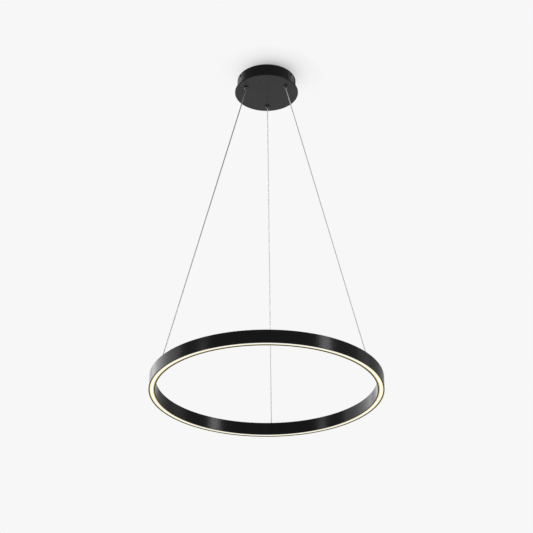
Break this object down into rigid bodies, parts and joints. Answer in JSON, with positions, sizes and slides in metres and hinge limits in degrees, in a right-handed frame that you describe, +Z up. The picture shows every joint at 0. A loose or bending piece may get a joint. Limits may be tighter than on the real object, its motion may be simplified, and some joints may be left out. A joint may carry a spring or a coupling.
{
  "type": "led ring chandelier",
  "caption": "Black ring pendant with an opal LED strip in its underside, hung level on tight cables from a round ceiling canopy that holds the driver.",
  "frame": {"origin": "centre of the ceiling face, on the top of the ceiling bracket", "axes": "+Z up, so the light is below the origin; one cable lies in the +Y half of the YZ plane, the others 120 degrees round"},
  "size_m": [0.6, 0.6, 0.966],
  "materials": {
    "black_anodised": "brushed and anodised satin black",
    "black_metal": "satin black coated turned metal",
    "zinc_steel": "zinc plated, dull bright",
    "spring_steel": "bright drawn wire",
    "opal_diffuser": "translucent opal, lit from inside, warm white",
    "clear_cable": "clear sheath over tinned copper strands",
    "white_plastic": "moulded satin white",
    "grey_plastic": "moulded satin grey",
    "black_rubber": "moulded matt rubber",
    "strip_board": "white solder mask",
    "led_phosphor": "yellow phosphor gel, lit",
    "circuit_board": "green solder mask",
    "transformer_ferrite": "dark ferrite with a taped winding",
    "capacitor_sleeve": "dark shrink sleeve with a bare top",
    "brown_wire": "brown insulation",
    "blue_wire": "blue insulation",
    "earth_green": "green insulation with a yellow stripe",
    "red_wire": "red insulation",
    "copper": "tinned copper",
    "crimped_brass": "plain turned brass"
  },
  "bodies": {
    "canopy": {"ceiling_bracket": "zinc_steel", "cable_entry_bush": "black_rubber", "earth_screw": "crimped_brass", "earth_lug": "copper", "earth_wire": "earth_green", "canopy_wall": "black_anodised", "canopy_base_plate": "black_anodised", "canopy_side_screws": "black_metal", "base_plate_screws": "zinc_steel", "fixing_screws": "zinc_steel", "driver_case_base": "white_plastic", "driver_case_lid": "white_plastic", "driver_case_screws": "zinc_steel", "driver_board": "circuit_board", "driver_transformer": "transformer_ferrite", "driver_capacitors": "capacitor_sleeve", "supply_terminal_block": "grey_plastic", "supply_terminal_screws": "zinc_steel", "lamp_terminal_block": "grey_plastic", "lamp_terminal_screws": "zinc_steel", "live_wire": "brown_wire", "neutral_wire": "blue_wire", "lamp_wires": "red_wire", "gripper_nuts": "zinc_steel", "gripper_1_body": "black_metal", "gripper_1_cap": "crimped_brass", "gripper_1_spring": "spring_steel", "cable_1": "clear_cable", "cable_1_tail": "clear_cable", "gripper_2_body": "black_metal", "gripper_2_cap": "crimped_brass", "gripper_2_spring": "spring_steel", "cable_2": "clear_cable", "cable_2_tail": "clear_cable", "gripper_3_body": "black_metal", "gripper_3_cap": "crimped_brass", "gripper_3_spring": "spring_steel", "cable_3": "clear_cable", "cable_3_tail": "clear_cable"},
    "ring": {"ring_profile": "black_anodised", "ring_diffuser": "opal_diffuser", "led_strip": "strip_board", "led_chips": "led_phosphor", "ring_splice": "zinc_steel", "splice_screws": "zinc_steel", "cable_bushes": "black_metal", "cable_stops": "crimped_brass", "cable_ends": "clear_cable", "ring_wires": "red_wire"},
    "release_1": {"gripper_1_plunger": "black_metal", "gripper_1_balls": "spring_steel"},
    "release_2": {"gripper_2_plunger": "black_metal", "gripper_2_balls": "spring_steel"},
    "release_3": {"gripper_3_plunger": "black_metal", "gripper_3_balls": "spring_steel"}
  },
  "joints": [
    {"name": "ring_height", "type": "slide", "parent": "canopy", "child": "ring", "axis": [0, 0, 1], "range_m": [0, 0.55], "deforming": ["cable_1", "cable_2", "cable_3"]},
    {"name": "release_1_press", "type": "slide", "parent": "canopy", "child": "release_1", "axis": [0, 0, 1], "range_m": [0, 0.0018], "stiffness_N_per_m": 700, "springref_m": -0.0015, "deforming": ["gripper_1_spring"]},
    {"name": "release_2_press", "type": "slide", "parent": "canopy", "child": "release_2", "axis": [0, 0, 1], "range_m": [0, 0.0018], "stiffness_N_per_m": 700, "springref_m": -0.0015, "deforming": ["gripper_2_spring"]},
    {"name": "release_3_press", "type": "slide", "parent": "canopy", "child": "release_3", "axis": [0, 0, 1], "range_m": [0, 0.0018], "stiffness_N_per_m": 700, "springref_m": -0.0015, "deforming": ["gripper_3_spring"]}
  ]
}
